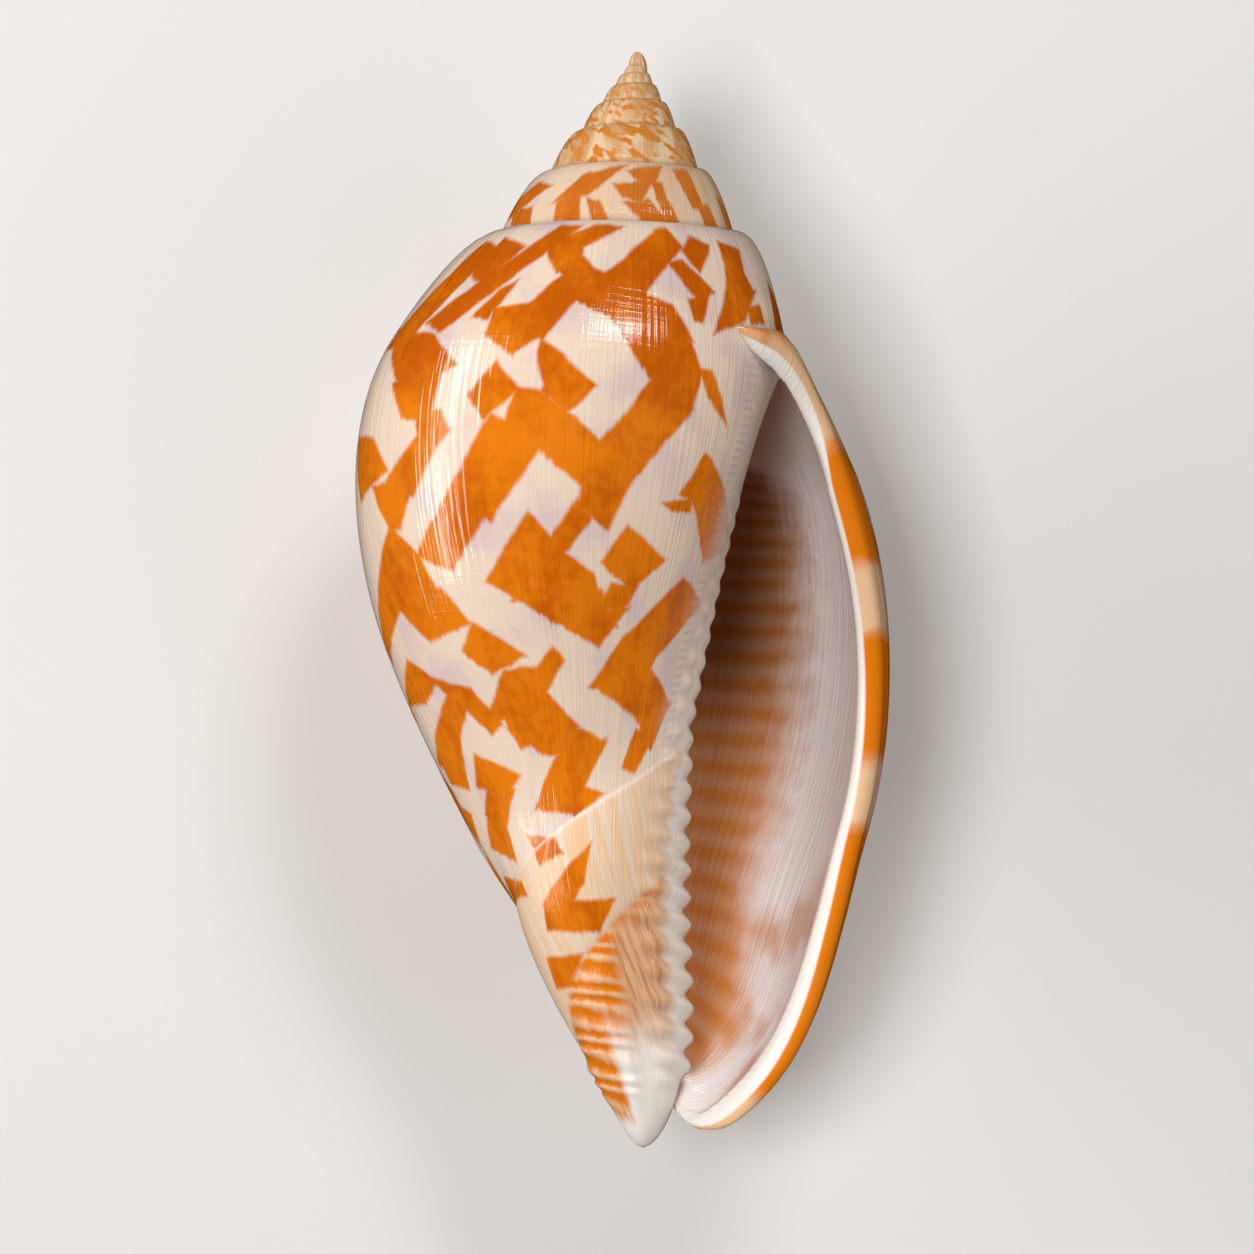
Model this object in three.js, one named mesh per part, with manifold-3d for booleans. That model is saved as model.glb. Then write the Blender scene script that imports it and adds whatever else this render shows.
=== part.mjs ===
// A cone-shaped volute shell lying on its back with its mouth up, grown as one piece.
// Millimetres, +Z up. The spire points along +Y and the mouth opens towards +Z on the +X side.
// The surface follows the animal's growth: a whorl outline that turns about the coil axis and swells,
// counted in turns, with 0 at the outer lip and negative turns going back towards the apex.
import * as THREE from "three";
import { mergeVertices } from "three/addons/utils/BufferGeometryUtils.js";
import Module from "manifold-3d";

// Overall size
const LENGTH = 90; // apex to the tip of the columella

// Coil: the suture is the line where each whorl joins the one before it
const SUTURE_RADIUS = 13.8; // at turn 0
const SUTURE_DEPTH = 22.1; // below the apex, at turn 0
const SUTURE_DIP = 2.6; // how far the suture dips behind the lip
const DIP_SPAN = [-0.4, -0.02, 0.08]; // turns where the dip starts, is deepest and ends
const RADIUS_GROWTH = 1.58; // per turn
const DEPTH_GROWTH = 1.53; // per turn
const SPIRE_TURNS = 6;
const WHORL_BULGE = 0.125; // of the whorl's height, above a straight side
const BULGE_EDGE = 0.3; // power that makes the whorl rise steeply from its suture
const BULGE_SCALE = 2.05; // brings the bulge's highest point to 1

// Body whorl
const LIP_AZIMUTH = THREE.MathUtils.degToRad(8); // from +X towards the mouth's side
const MOUTH_TOP_TURN = 0.12; // the lip runs on past turn 0 where it joins the suture
const MOUTH_BASE_TURN = -0.1; // and stops short of turn 0 at the siphon notch
const LIP_TOP_POWER = 4; // how soon the lip comes back to turn 0, going down from the suture
const NOTCH_START = 0.91; // share of the side where the lip starts to draw back to the notch
const SHOULDER_SWELL = [19, -22.3]; // extra shoulder radius, by turn squared and cubed
const SHOULDER_LIFT = 1;
const FLARE_START = -0.3; // turn from which the wall flares towards the lip
const LIP_FLARE = 0.4; // extra shoulder radius at the lip
const LIP_DROP = 0.5; // extra shoulder depth at the lip
const LIP_BULGE = 0.8; // share of the whorl's bulge that is left at the lip
const SIDE_START = [4, 17.7, 5]; // lengths of the side curve's first handle at turns -1, -0.5 and 0
const SIDE_END_RADIUS = [1.8, 4.1, 34.3]; // its second handle, at the same turns
const SIDE_END_DEPTH = [-11, -10.3, -15.9];
const SIPHON_LOBE = 1.9; // drop of the lip's lower lobe, beside the notch
const SIPHON_SPAN = [0.7, 0.92]; // share of the side where the lobe starts and is lowest
const PARIETAL_DIP = 1.6; // hollow of the wall behind the mouth's inner side
const BASE_DEPTH = 90.2; // of the fasciole ridge at turn 0
const BASE_GROWTH = 1.615; // per turn

// Columella pillar
const PILLAR_RADIUS = 7.2;
const PILLAR_TAPER_START = 67; // depth below the apex
const PILLAR_TAPER = [1.15, 0.58]; // powers of its taper to the tip
const PILLAR_GROWTH_DEPTH = 55; // above this the pillar thins towards the apex

// The coil axis drifts from +X to -X going down, then bends back at the pillar
const AXIS_AT_APEX = 1.28;
const AXIS_DRIFT = -0.053;
const AXIS_BEND = 5.2;
const AXIS_BEND_START = 64.5;
const COIL_LEAN = 0.115; // slope of the whorls across the axis
const LEAN_FADE_START = 25;
const LEAN_FADE_LENGTH = 25;

// Wall and cavity
const WALL = 2.2;
const CAVITY_TURNS = 0.62;
const NOSE_RADIUS = 12; // the lip's rounded edge is no longer, in turns, than it is at this radius
const CORNER_REACH = 0.3; // share of the upper face over which the wall meets the cavity's floor
const CAVITY_TOP_ANGLE = THREE.MathUtils.degToRad(-65); // which way the wall's inside lies, at the suture
const CAVITY_BASE_ANGLE = THREE.MathUtils.degToRad(30); // and at the base

// How the shell lies, and the flat that it rests on
const AXIS_HEIGHT = 23.65; // of the coil axis above the table

// Facets
const COLUMNS = 40; // per turn
const WHORL_ROWS = 4; // across a spire whorl, and down the pillar
const SIDE_ROWS = 22;
const TIP_ROWS = 4;
const DOME_ROWS = 4;
const ROLL_STEPS = 3; // round the lip's edge
const CAVITY_STEPS = 13;
const MERGE = 1e-4;

const { smoothstep, lerp } = THREE.MathUtils;
const mouthStart = MOUTH_TOP_TURN - 1; // the turn that the mouth's top corner sits on
const baseCorner = MOUTH_BASE_TURN - 1;

// A smooth value through the three given at turns -1, -0.5 and 0, which stays the same before turn -1
function alongTurn(anyTurn, [parietal, side, lip]) {
  const turn = Math.max(anyTurn, -1);
  const curve = 2 * (parietal + lip) - 4 * side;
  return lip + (lip + curve - parietal) * turn + curve * turn * turn;
}

function suture(turn) {
  const [start, deepest, end] = DIP_SPAN;
  const dip = SUTURE_DIP * smoothstep(turn, start, deepest) * (1 - smoothstep(turn, deepest, end));
  return [SUTURE_RADIUS * RADIUS_GROWTH ** turn, SUTURE_DEPTH * DEPTH_GROWTH ** turn + dip];
}

// Where the next whorl's suture would lie, swollen on the body whorl
function shoulder(turn) {
  const [radius, depth] = suture(turn + 1);
  const grown = Math.max(0, turn - mouthStart) / -mouthStart;
  const swell = grown ** 2 * (SHOULDER_SWELL[0] + SHOULDER_SWELL[1] * grown);
  const flare = smoothstep(turn, FLARE_START, 0);
  const lift = SHOULDER_LIFT * smoothstep(grown * 2.4, 0, 1);
  return [radius + swell + LIP_FLARE * flare, depth - lift + LIP_DROP * flare];
}

const baseDepth = (turn) => BASE_DEPTH * BASE_GROWTH ** turn;

function pillarRadius(depth) {
  const along = THREE.MathUtils.clamp((depth - PILLAR_TAPER_START) / (LENGTH - PILLAR_TAPER_START), 0, 1);
  const thinning = Math.min(1, depth / PILLAR_GROWTH_DEPTH);
  return PILLAR_RADIUS * thinning * (1 - along ** PILLAR_TAPER[0]) ** PILLAR_TAPER[1];
}

const bulge = (turn) => WHORL_BULGE * lerp(1, LIP_BULGE, smoothstep(turn, -0.55, -0.1));

// The whorl's upper face, from its suture (across 0) to its shoulder (across 1), as [radius, depth]
function upperFace(turn, across) {
  const [r0, d0] = suture(turn);
  const [r1, d1] = shoulder(turn);
  const rise = bulge(turn) * BULGE_SCALE * across ** BULGE_EDGE * (1 - across);
  return [lerp(r0, r1, across) + (d1 - d0) * rise, lerp(d0, d1, across) - (r1 - r0) * rise];
}

// The body whorl's side, one Bezier curve from the shoulder (across 0) to the fasciole ridge (across 1)
function sideFace(turn, across) {
  const [r0, d0] = suture(turn);
  const [r1, d1] = shoulder(turn);
  const lean = bulge(turn) * BULGE_SCALE;
  const heading = new THREE.Vector2(r1 - r0 - (d1 - d0) * lean, d1 - d0 + (r1 - r0) * lean).normalize();
  const start = new THREE.Vector2(r1, d1);
  const depth = baseDepth(turn);
  const end = new THREE.Vector2(pillarRadius(depth), depth);
  const handle = new THREE.Vector2(alongTurn(turn, SIDE_END_RADIUS), alongTurn(turn, SIDE_END_DEPTH));
  const first = start.clone().addScaledVector(heading, alongTurn(turn, SIDE_START));
  const side = new THREE.CubicBezierCurve(start, first, end.clone().add(handle), end);
  const point = side.getPoint(across);
  const dip = PARIETAL_DIP * (1 - smoothstep(turn, -1, -0.8)) * 6.75 * across * (1 - across) ** 2;
  const [lobeStart, lobeLowest] = SIPHON_SPAN;
  const lobe = smoothstep(across, lobeStart, lobeLowest) * (1 - smoothstep(across, lobeLowest, 1));
  return [point.x - dip, point.y + SIPHON_LOBE * lobe * smoothstep(turn, FLARE_START, 0)];
}

// Rows count through the upper face and then the side
const FACE_ROWS = WHORL_ROWS + SIDE_ROWS;
function bodyFace(turn, row) {
  return row <= WHORL_ROWS
    ? upperFace(turn, row / WHORL_ROWS)
    : sideFace(turn, (row - WHORL_ROWS) / SIDE_ROWS);
}

// The turn at which the outer lip ends a row
function lipTurn(row) {
  if (row <= WHORL_ROWS) return MOUTH_TOP_TURN * (1 - row / WHORL_ROWS) ** LIP_TOP_POWER;
  const across = (row - WHORL_ROWS) / SIDE_ROWS;
  const drawn = Math.max(0, across - NOTCH_START) / (1 - NOTCH_START);
  return MOUTH_BASE_TURN * drawn ** 2;
}

// A point of the shell from its turn, its radius from the coil axis and its depth below the apex
function place(turn, [radius, depth]) {
  const angle = LIP_AZIMUTH + 2 * Math.PI * turn;
  const across = radius * Math.cos(angle);
  const bend = AXIS_BEND * smoothstep(depth, AXIS_BEND_START, LENGTH);
  const axis = AXIS_AT_APEX + AXIS_DRIFT * depth + bend;
  const lean = COIL_LEAN * (1 - smoothstep(depth, LEAN_FADE_START, LEAN_FADE_START + LEAN_FADE_LENGTH));
  return new THREE.Vector3(axis + across, LENGTH / 2 - depth - lean * across, radius * Math.sin(angle));
}

// Below the ridge the columns of the body whorl spread into a full ring round the pillar
function pillarFace(column, along) {
  const top = lerp(mouthStart, MOUTH_BASE_TURN, column);
  const ring = baseCorner + column;
  const depth = lerp(baseDepth(top), baseDepth(MOUTH_BASE_TURN), along);
  return place(lerp(top, ring, smoothstep(along, 0, 1)), [pillarRadius(depth), depth]);
}

function tipFace(column, along) {
  const depth = lerp(baseDepth(MOUTH_BASE_TURN), LENGTH, along);
  return place(baseCorner + column, [pillarRadius(depth), depth]);
}

// The wall's inside, set in from its outer face, with its two ends drawn onto the cavity's floor
function wallInside(row, turn, inset, back) {
  const across = row / FACE_ROWS;
  const angle = lerp(CAVITY_TOP_ANGLE, CAVITY_BASE_ANGLE, across);
  const [radius, depth] = bodyFace(turn, row);
  const point = place(turn, [radius - inset * Math.cos(angle), depth - inset * Math.sin(angle)]);
  const top = place(mouthStart - back, floorTop(mouthStart - back, inset));
  const base = place(baseCorner - back, floorBase(back, inset));
  const reach = (WHORL_ROWS * CORNER_REACH * inset) / WALL;
  return point
    .lerp(top, 1 - smoothstep(row, 0, reach))
    .lerp(base, 1 - smoothstep(FACE_ROWS - row, 0, reach));
}

// The cavity's floor is the whorl before and the pillar: its top line and its base line
function floorTop(turn, inset) {
  return sideFace(turn, inset / (baseDepth(turn) - shoulder(turn)[1]));
}

function floorBase(back, inset) {
  const depth = baseDepth(MOUTH_BASE_TURN - back) - inset * smoothstep(back, 0, 0.1);
  return [pillarRadius(depth), depth];
}

// A row of the floor, counted up from the base corner, going back into the shell
function floorFace(row, back, inset) {
  const turn = mouthStart - back;
  if (row <= WHORL_ROWS) {
    const along = 1 - row / WHORL_ROWS;
    const depth = lerp(baseDepth(turn), floorBase(back, inset)[1], along);
    return place(lerp(turn, baseCorner - back, smoothstep(along, 0, 1)), [pillarRadius(depth), depth]);
  }
  const highest = inset / (baseDepth(turn) - shoulder(turn)[1]);
  return place(turn, sideFace(turn, lerp(1, highest, (row - WHORL_ROWS) / SIDE_ROWS)));
}

// The cavity's loop at a step: round the lip's edge first, and then back along the coil
function cavityLoop(step) {
  const steps = ROLL_STEPS + CAVITY_STEPS;
  const roll = Math.min(1, step / ROLL_STEPS) * Math.PI;
  const inset = (WALL / 2) * (1 - Math.cos(roll));
  const back = Math.max(0, step - ROLL_STEPS) * (CAVITY_TURNS / CAVITY_STEPS);
  const floorBack = step * (CAVITY_TURNS / steps);
  const wall = [];
  const floor = [];
  for (let row = 0; row <= FACE_ROWS; row++) {
    const turn = lipTurn(row) - back;
    const [radius] = bodyFace(turn, row);
    const nose = ((WALL / 2) * Math.sin(roll)) / (2 * Math.PI * Math.max(radius, NOSE_RADIUS));
    wall.push(wallInside(row, turn + nose, inset, floorBack));
    floor.unshift(floorFace(row, floorBack, inset));
  }
  if (step === steps) {
    // The cavity pinches shut at its deep end
    for (let row = 0; row <= FACE_ROWS; row++) {
      const middle = wall[row].clone().lerp(floor[row], 0.5);
      wall[row] = middle;
      floor[row] = middle;
    }
  }
  return wall.concat(floor.reverse());
}

// Pushes the triangles of a grid of points, leaving out those that have collapsed
function addGrid(triangles, grid) {
  for (let i = 1; i < grid.length; i++) {
    for (let j = 1; j < grid[i].length; j++) {
      const [a, b, c, d] = [grid[i - 1][j - 1], grid[i][j - 1], grid[i][j], grid[i - 1][j]];
      for (const corners of [[a, b, c], [a, c, d]]) {
        const [p, q, s] = corners;
        if (p.distanceTo(q) > MERGE && q.distanceTo(s) > MERGE && s.distanceTo(p) > MERGE) {
          triangles.push(...corners);
        }
      }
    }
  }
}

const range = (count) => Array.from({ length: count + 1 }, (_, i) => i);

// A small dome closes the first whorl, over its suture and its starting edge
function domeRing(firstTurn, rise) {
  const rim = range(COLUMNS).map((i) => [firstTurn + i / COLUMNS, 0]);
  const edge = range(WHORL_ROWS).map((row) => [firstTurn, 1 - row / WHORL_ROWS]);
  return rim.concat(edge.slice(1)).map(([turn, across]) => {
    const [radius, depth] = upperFace(turn, across);
    const angle = (rise * Math.PI) / 2;
    return place(turn, [radius * Math.cos(angle), depth * (1 - Math.sin(angle))]);
  });
}

function shellSurface() {
  const triangles = [];
  const firstTurn = mouthStart - SPIRE_TURNS;
  const spire = range(SPIRE_TURNS * COLUMNS).map((i) => {
    const turn = firstTurn + i / COLUMNS;
    return range(WHORL_ROWS).map((row) => place(turn, upperFace(turn, row / WHORL_ROWS)));
  });
  addGrid(triangles, spire);
  const body = range(COLUMNS).map((i) =>
    range(FACE_ROWS).map((row) => {
      const turn = lerp(mouthStart, lipTurn(row), i / COLUMNS);
      return place(turn, bodyFace(turn, row));
    }),
  );
  addGrid(triangles, body);
  const columns = range(COLUMNS).map((i) => i / COLUMNS);
  addGrid(triangles, columns.map((column) => range(WHORL_ROWS).map((j) => pillarFace(column, j / WHORL_ROWS))));
  addGrid(triangles, columns.map((column) => range(TIP_ROWS).map((j) => tipFace(column, j / TIP_ROWS))));
  addGrid(triangles, range(ROLL_STEPS + CAVITY_STEPS).map((step) => cavityLoop(step)));
  addGrid(triangles, range(DOME_ROWS).map((row) => domeRing(firstTurn, row / DOME_ROWS)));
  return triangles;
}

function geometryOf(points) {
  const geometry = new THREE.BufferGeometry().setFromPoints(points);
  return mergeVertices(geometry, MERGE);
}

const wasm = await Module();
wasm.setup();

function solidOf(geometry) {
  const bare = geometry.clone();
  bare.deleteAttribute("normal");
  bare.deleteAttribute("uv");
  const merged = mergeVertices(bare, MERGE);
  return new wasm.Manifold(
    new wasm.Mesh({
      numProp: 3,
      vertProperties: merged.attributes.position.array,
      triVerts: new Uint32Array(merged.index.array),
    }),
  );
}

function geometryFrom(solid) {
  const mesh = solid.getMesh();
  const geometry = new THREE.BufferGeometry();
  geometry.setAttribute("position", new THREE.BufferAttribute(mesh.vertProperties, 3));
  geometry.setIndex(new THREE.BufferAttribute(mesh.triVerts, 1));
  return geometry;
}

// The shell as it lies, with a small flat worn where it touches the table
function restingShell() {
  const lying = geometryOf(shellSurface());
  lying.translate(0, 0, AXIS_HEIGHT);
  const table = new THREE.BoxGeometry(2 * LENGTH, 2 * LENGTH, LENGTH);
  table.translate(0, 0, -LENGTH / 2);
  return geometryFrom(solidOf(lying).subtract(solidOf(table)));
}

const glaze = new THREE.MeshStandardMaterial({ color: 0xd98a45, roughness: 0.25, metalness: 0 });
const shell = new THREE.Mesh(restingShell(), glaze);
shell.name = "shell";

const part = new THREE.Group();
part.add(shell);

export default part;
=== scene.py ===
import math

import bpy
from mathutils import Matrix, Vector


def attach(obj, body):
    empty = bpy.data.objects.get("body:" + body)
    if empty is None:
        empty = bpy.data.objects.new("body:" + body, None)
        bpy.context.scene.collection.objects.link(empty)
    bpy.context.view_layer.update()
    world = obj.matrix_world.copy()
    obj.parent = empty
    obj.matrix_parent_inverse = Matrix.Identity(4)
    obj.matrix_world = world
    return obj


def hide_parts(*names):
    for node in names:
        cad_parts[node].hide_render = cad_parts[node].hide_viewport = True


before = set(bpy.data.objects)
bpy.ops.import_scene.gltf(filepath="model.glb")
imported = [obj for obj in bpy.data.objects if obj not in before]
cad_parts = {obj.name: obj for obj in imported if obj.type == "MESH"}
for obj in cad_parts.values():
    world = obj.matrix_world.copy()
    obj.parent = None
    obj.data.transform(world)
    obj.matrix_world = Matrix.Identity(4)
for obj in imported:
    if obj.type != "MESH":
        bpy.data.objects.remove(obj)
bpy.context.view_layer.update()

# Sizes in millimetres, angles in degrees. Turns are counted back from the outer lip, which is turn 0.
# Depths are measured down from the apex. The SIDE_ lists hold values at turns -1, -0.5 and 0.
LENGTH = 90
AXIS_HEIGHT = 23.65

# Coil: the suture is the line where each whorl joins the one before it, and it dips behind the lip
SUTURE_RADIUS, SUTURE_DEPTH = 13.8, 22.1
SUTURE_DIP, DIP_SPAN = 2.6, (-0.4, -0.02, 0.08)
RADIUS_GROWTH, DEPTH_GROWTH = 1.58, 1.53
SPIRE_TURNS = 6
WHORL_BULGE, BULGE_EDGE, BULGE_SCALE = 0.125, 0.3, 2.05

# Body whorl and lip
LIP_AZIMUTH = 8
MOUTH_TOP_TURN, MOUTH_BASE_TURN, LIP_TOP_POWER = 0.12, -0.1, 4
NOTCH_START = 0.91
SHOULDER_SWELL, SHOULDER_LIFT, LIFT_PACE = (19, -22.3), 1, 2.4
FLARE_START, LIP_FLARE, LIP_DROP = -0.3, 0.4, 0.5
LIP_BULGE, BULGE_FADE = 0.8, (-0.55, -0.1)
SIPHON_LOBE, SIPHON_SPAN = 1.9, (0.7, 0.92)
SIDE_START = (4, 17.7, 5)
SIDE_END_RADIUS = (1.8, 4.1, 34.3)
SIDE_END_DEPTH = (-11, -10.3, -15.9)
PARIETAL_DIP, PARIETAL_SPAN, PARIETAL_SCALE = 1.6, (-1, -0.8), 6.75
MOUTH_START = MOUTH_TOP_TURN - 1
FIRST_TURN = MOUTH_START - SPIRE_TURNS

# Columella pillar, with the ridge at its top, the band below the ridge and the teeth
BASE_DEPTH, BASE_GROWTH = 90.2, 1.615
BASE_CORNER = MOUTH_BASE_TURN - 1
PILLAR_RADIUS, PILLAR_TAPER_START, PILLAR_TAPER, PILLAR_GROWTH_DEPTH = 7.2, 67, (1.15, 0.58), 55
BAND_SHARE, BAND_HEIGHT, BAND_POWER = 0.165, 1.15, 0.7
WRINKLE_BASE, WRINKLE_HEIGHT = 0.3, 0.13
TEETH = 24
TEETH_TOP, TEETH_BASE = 35, 85.5
TEETH_EDGE = (-0.985, -0.94)
TEETH_REACH = (0.045, 0.13)

# The coil axis drifts from +X to -X going down, then bends back at the pillar
AXIS_AT_APEX, AXIS_DRIFT, AXIS_BEND, AXIS_BEND_START = 1.28, -0.053, 5.2, 64.5
COIL_LEAN, LEAN_FADE_START, LEAN_FADE_LENGTH = 0.115, 25, 25

# Cavity behind the lip, and how its wall comes to meet its floor at both ends of the mouth
CAVITY_TURNS = 0.62
CAVITY_TOP_ANGLE, CAVITY_BASE_ANGLE = -65, 30
UPPER_SHARE = 4 / 26  # of the change between those two angles, on the upper face
NOSE_RADIUS = 12
CORNER_REACH, BASE_REACH = 0.14, 0.055
ROLL_SHARE = 0.15


# Numbers in a node tree
class Value:
    """A number in a node tree. Arithmetic on it adds Math nodes."""

    def __init__(self, tree, socket):
        self.tree = tree
        self.socket = socket

    def __add__(self, other):
        return math_node("ADD", self, other)

    def __radd__(self, other):
        return math_node("ADD", other, self)

    def __sub__(self, other):
        return math_node("SUBTRACT", self, other)

    def __rsub__(self, other):
        return math_node("SUBTRACT", other, self)

    def __mul__(self, other):
        return math_node("MULTIPLY", self, other)

    def __rmul__(self, other):
        return math_node("MULTIPLY", other, self)

    def __truediv__(self, other):
        return math_node("DIVIDE", self, other)

    def __pow__(self, other):
        return math_node("POWER", self, other)

    def __rpow__(self, other):
        return math_node("POWER", other, self)

    def __abs__(self):
        return math_node("ABSOLUTE", self)


def feed(tree, socket, value):
    if isinstance(value, Value):
        value = value.socket
    if isinstance(value, bpy.types.NodeSocket):
        tree.links.new(value, socket)
    else:
        socket.default_value = value


def add_node(tree, kind, settings=None, inputs=None):
    """Adds a node: its settings first, and then its sockets' values or links."""
    node = tree.nodes.new(kind)
    for name, value in (settings or {}).items():
        setattr(node, name, value)
    for name, value in (inputs or {}).items():
        feed(tree, node.inputs[name], value)
    return node


# Nodes made so far, by what goes into them
made = {}


def once(tree, kind, settings, inputs):
    """Adds a node with one number out, or gives the one already made from the same inputs."""
    sources = (id(v) if isinstance(v, Value) else v for v in inputs.values())
    key = (tree.name, kind, *settings.values(), *sources)
    if key not in made:
        node = add_node(tree, kind, settings, inputs)
        made[key] = Value(tree, node.outputs[0]), inputs
    return made[key][0]


def vector(tree, *parts):
    return add_node(tree, "ShaderNodeCombineXYZ", {}, dict(enumerate(parts))).outputs[0]


def parts_of(tree, socket):
    node = add_node(tree, "ShaderNodeSeparateXYZ", {}, {0: socket})
    return [Value(tree, output) for output in node.outputs]


def math_node(operation, *values):
    tree = next(value.tree for value in values if isinstance(value, Value))
    return once(tree, "ShaderNodeMath", {"operation": operation}, dict(enumerate(values)))


def is_number(*values):
    return not any(isinstance(value, Value) for value in values)


def lowest(a, b):
    return min(a, b) if is_number(a, b) else math_node("MINIMUM", a, b)


def highest(a, b):
    return max(a, b) if is_number(a, b) else math_node("MAXIMUM", a, b)


def cosine(angle):
    return math.cos(angle) if is_number(angle) else math_node("COSINE", angle)


def sine(angle):
    return math.sin(angle) if is_number(angle) else math_node("SINE", angle)


def above(value, limit):
    return float(value > limit) if is_number(value, limit) else math_node("GREATER_THAN", value, limit)


def ease(value, start, end):
    """Goes smoothly from 0 at the start to 1 at the end."""
    if is_number(value):
        share = min(1, max(0, (value - start) / (end - start)))
        return share * share * (3 - 2 * share)
    inputs = {"Value": value, "From Min": start, "From Max": end}
    return once(value.tree, "ShaderNodeMapRange", {"interpolation_type": "SMOOTHSTEP"}, inputs)


def blend(a, b, share):
    return a + (b - a) * share


# The shell's growth
def along_turn(turn, values):
    """The curve through three values, at turns -1, -0.5 and 0."""
    parietal, side, lip = values
    turn = highest(turn, -1)
    curve = 2 * (parietal + lip) - 4 * side
    return lip + (lip + curve - parietal) * turn + curve * turn * turn


def suture(turn):
    start, deepest, end = DIP_SPAN
    dip = SUTURE_DIP * ease(turn, start, deepest) * (1 - ease(turn, deepest, end))
    return SUTURE_RADIUS * RADIUS_GROWTH**turn, SUTURE_DEPTH * DEPTH_GROWTH**turn + dip


def shoulder(turn):
    radius, depth = suture(turn + 1)
    grown = highest(turn - MOUTH_START, 0) / -MOUTH_START
    swell = grown * grown * (SHOULDER_SWELL[0] + SHOULDER_SWELL[1] * grown)
    flare = ease(turn, FLARE_START, 0)
    lift = SHOULDER_LIFT * ease(grown * LIFT_PACE, 0, 1)
    return radius + swell + LIP_FLARE * flare, depth - lift + LIP_DROP * flare


def base_depth(turn):
    return BASE_DEPTH * BASE_GROWTH**turn


def pillar_radius(depth):
    along = highest(0, lowest(1, (depth - PILLAR_TAPER_START) / (LENGTH - PILLAR_TAPER_START)))
    thinning = lowest(1, depth / PILLAR_GROWTH_DEPTH)
    return PILLAR_RADIUS * thinning * highest(0, 1 - along ** PILLAR_TAPER[0]) ** PILLAR_TAPER[1]


def bulge(turn):
    return WHORL_BULGE * BULGE_SCALE * blend(1, LIP_BULGE, ease(turn, *BULGE_FADE))


def upper_face(turn, across):
    r0, d0 = suture(turn)
    r1, d1 = shoulder(turn)
    rise = bulge(turn) * across**BULGE_EDGE * (1 - across)
    return blend(r0, r1, across) + (d1 - d0) * rise, blend(d0, d1, across) - (r1 - r0) * rise


def side_face(turn, across):
    r0, d0 = suture(turn)
    r1, d1 = shoulder(turn)
    lean = bulge(turn)
    head_r, head_d = r1 - r0 - (d1 - d0) * lean, d1 - d0 + (r1 - r0) * lean
    reach = along_turn(turn, SIDE_START) / (head_r * head_r + head_d * head_d) ** 0.5
    depth = base_depth(turn)
    radius = pillar_radius(depth)
    rest = 1 - across
    weights = rest**3, 3 * across * rest * rest, 3 * across * across * rest, across**3
    radii = r1, r1 + head_r * reach, radius + along_turn(turn, SIDE_END_RADIUS), radius
    depths = d1, d1 + head_d * reach, depth + along_turn(turn, SIDE_END_DEPTH), depth
    dip = PARIETAL_DIP * (1 - ease(turn, *PARIETAL_SPAN)) * PARIETAL_SCALE * across * rest * rest
    face_r = sum(w * r for w, r in zip(weights, radii)) - dip
    face_d = sum(w * d for w, d in zip(weights, depths))
    lobe = ease(across, *SIPHON_SPAN) * (1 - ease(across, SIPHON_SPAN[1], 1)) * ease(turn, FLARE_START, 0)
    return face_r, face_d + SIPHON_LOBE * lobe


def body_face(turn, across, is_side):
    return side_face(turn, across) if is_side else upper_face(turn, across)


def lip_turn(across, is_side):
    if is_side:
        drawn = highest(0, across - NOTCH_START) / (1 - NOTCH_START)
        return MOUTH_BASE_TURN * drawn * drawn
    return MOUTH_TOP_TURN * (1 - across) ** LIP_TOP_POWER


def place(turn, radius, depth):
    angle = math.radians(LIP_AZIMUTH) + 2 * math.pi * turn
    across = radius * cosine(angle)
    axis = AXIS_AT_APEX + AXIS_DRIFT * depth + AXIS_BEND * ease(depth, AXIS_BEND_START, LENGTH)
    lean = COIL_LEAN * (1 - ease(depth, LEAN_FADE_START, LEAN_FADE_START + LEAN_FADE_LENGTH))
    return axis + across, LENGTH / 2 - depth - lean * across, AXIS_HEIGHT + radius * sine(angle)


def teeth_down(depth):
    return (depth - TEETH_TOP) / (TEETH_BASE - TEETH_TOP)


def teeth_edge(depth):
    """The turn that the teeth sit on and how far they reach to each side of it."""
    down = teeth_down(depth)
    return blend(*TEETH_EDGE, ease(down, 0, 1)), blend(*TEETH_REACH, ease(down, 0.2, 0.8))


def columella_teeth(turn, depth, height):
    """Folds that run round the inner side of the mouth, small above and long near the base."""
    down = teeth_down(depth)
    number = TEETH * down * (1.12 - 0.12 * down)
    edge, reach = teeth_edge(depth)
    wave = 0.5 + 0.5 * cosine(2 * math.pi * (number + 3 * (turn - edge)))
    fade = ease(depth, TEETH_TOP, TEETH_TOP + 3) * (1 - ease(depth, TEETH_BASE - 2, TEETH_BASE))
    window = 1 - ease(abs(turn - edge), reach * 0.45, reach)
    return height * blend(0.25, 1, ease(down, 0.1, 0.85)) * fade * window * wave**0.8


def wrinkles(turn, depth):
    return sine(4.6 * depth + 22 * turn + 1.2 * sine(1.7 * depth))


def down_band(turn, depth):
    """How far down the band below the ridge a depth lies, from 0 at its top to 1 at its foot."""
    return (depth / base_depth(turn) - 1) / BAND_SHARE


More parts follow.
